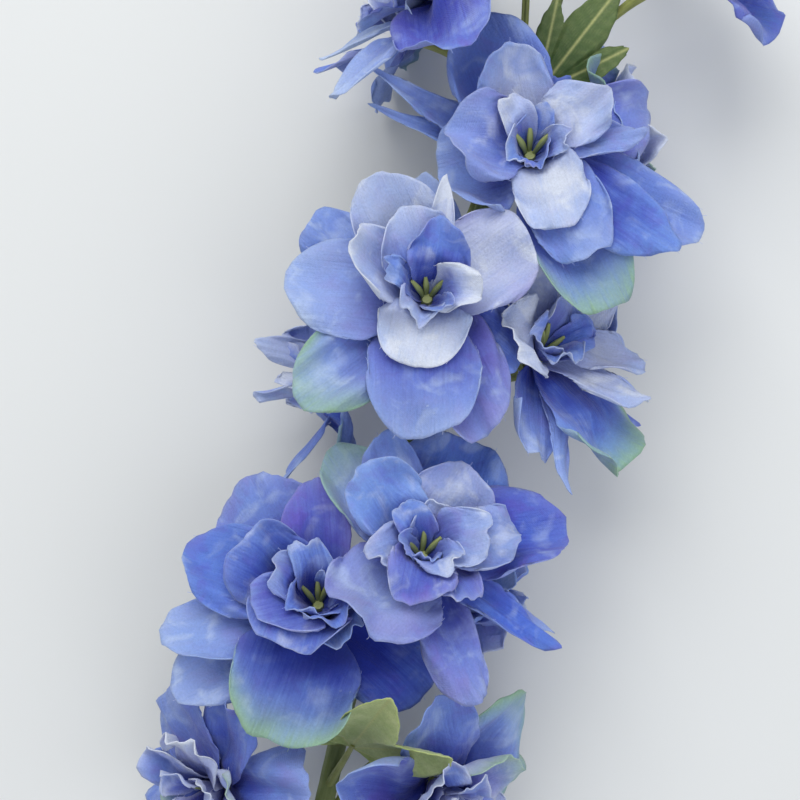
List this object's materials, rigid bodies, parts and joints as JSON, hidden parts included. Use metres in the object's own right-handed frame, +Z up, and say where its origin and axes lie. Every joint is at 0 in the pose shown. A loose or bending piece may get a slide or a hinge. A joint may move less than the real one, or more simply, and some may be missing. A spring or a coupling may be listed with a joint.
{
  "type": "delphinium flower spike",
  "caption": "Cut delphinium spike lying down: blue double florets on curved stalks along one stem, with lobed leaves below and buds at the tip.",
  "frame": {"origin": "middle of the bounding box on the surface that the spike lies on", "axes": "+Y along the stem from the cut end to the tip, +Z up from the surface, +X to the right of the stem"},
  "size_m": [0.13, 0.4674, 0.0909],
  "materials": {
    "stem_plastic": "satin moulded plastic, olive green",
    "stalk_plastic": "satin moulded plastic, yellow green",
    "pistil_plastic": "satin moulded plastic, olive",
    "bud_cloth": "pressed cloth over a moulded core, blue with a green foot",
    "petal_cloth": "printed stiffened cloth, pale lilac to blue",
    "sepal_cloth": "printed stiffened cloth, cornflower blue with violet and green",
    "leaf_cloth": "pressed veined cloth, mid green"
  },
  "bodies": {
    "root": {"main_stem": "stem_plastic", "floret_01_stalk": "stalk_plastic", "floret_01_pistil": "pistil_plastic", "floret_01_petals": "petal_cloth", "floret_01_sepals": "sepal_cloth", "floret_02_stalk": "stalk_plastic", "floret_02_pistil": "pistil_plastic", "floret_02_petals": "petal_cloth", "floret_02_sepals": "sepal_cloth", "floret_03_stalk": "stalk_plastic", "floret_03_pistil": "pistil_plastic", "floret_03_petals": "petal_cloth", "floret_03_sepals": "sepal_cloth", "floret_04_stalk": "stalk_plastic", "floret_04_pistil": "pistil_plastic", "floret_04_petals": "petal_cloth", "floret_04_sepals": "sepal_cloth", "floret_05_stalk": "stalk_plastic", "floret_05_pistil": "pistil_plastic", "floret_05_petals": "petal_cloth", "floret_05_sepals": "sepal_cloth", "floret_06_stalk": "stalk_plastic", "floret_06_pistil": "pistil_plastic", "floret_06_petals": "petal_cloth", "floret_06_sepals": "sepal_cloth", "floret_07_stalk": "stalk_plastic", "floret_07_pistil": "pistil_plastic", "floret_07_petals": "petal_cloth", "floret_07_sepals": "sepal_cloth", "floret_08_stalk": "stalk_plastic", "floret_08_pistil": "pistil_plastic", "floret_08_petals": "petal_cloth", "floret_08_sepals": "sepal_cloth", "floret_09_stalk": "stalk_plastic", "floret_09_pistil": "pistil_plastic", "floret_09_petals": "petal_cloth", "floret_09_sepals": "sepal_cloth", "floret_10_stalk": "stalk_plastic", "floret_10_pistil": "pistil_plastic", "floret_10_petals": "petal_cloth", "floret_10_sepals": "sepal_cloth", "floret_11_stalk": "stalk_plastic", "floret_11_pistil": "pistil_plastic", "floret_11_petals": "petal_cloth", "floret_11_sepals": "sepal_cloth", "floret_12_stalk": "stalk_plastic", "floret_12_pistil": "pistil_plastic", "floret_12_petals": "petal_cloth", "floret_12_sepals": "sepal_cloth", "floret_13_stalk": "stalk_plastic", "floret_13_pistil": "pistil_plastic", "floret_13_petals": "petal_cloth", "floret_13_sepals": "sepal_cloth", "bud_01": "bud_cloth", "bud_02": "bud_cloth", "bud_03": "bud_cloth", "bud_04": "bud_cloth", "leaf_01": "leaf_cloth", "leaf_02": "leaf_cloth", "leaf_03": "leaf_cloth"}
  },
  "joints": []
}
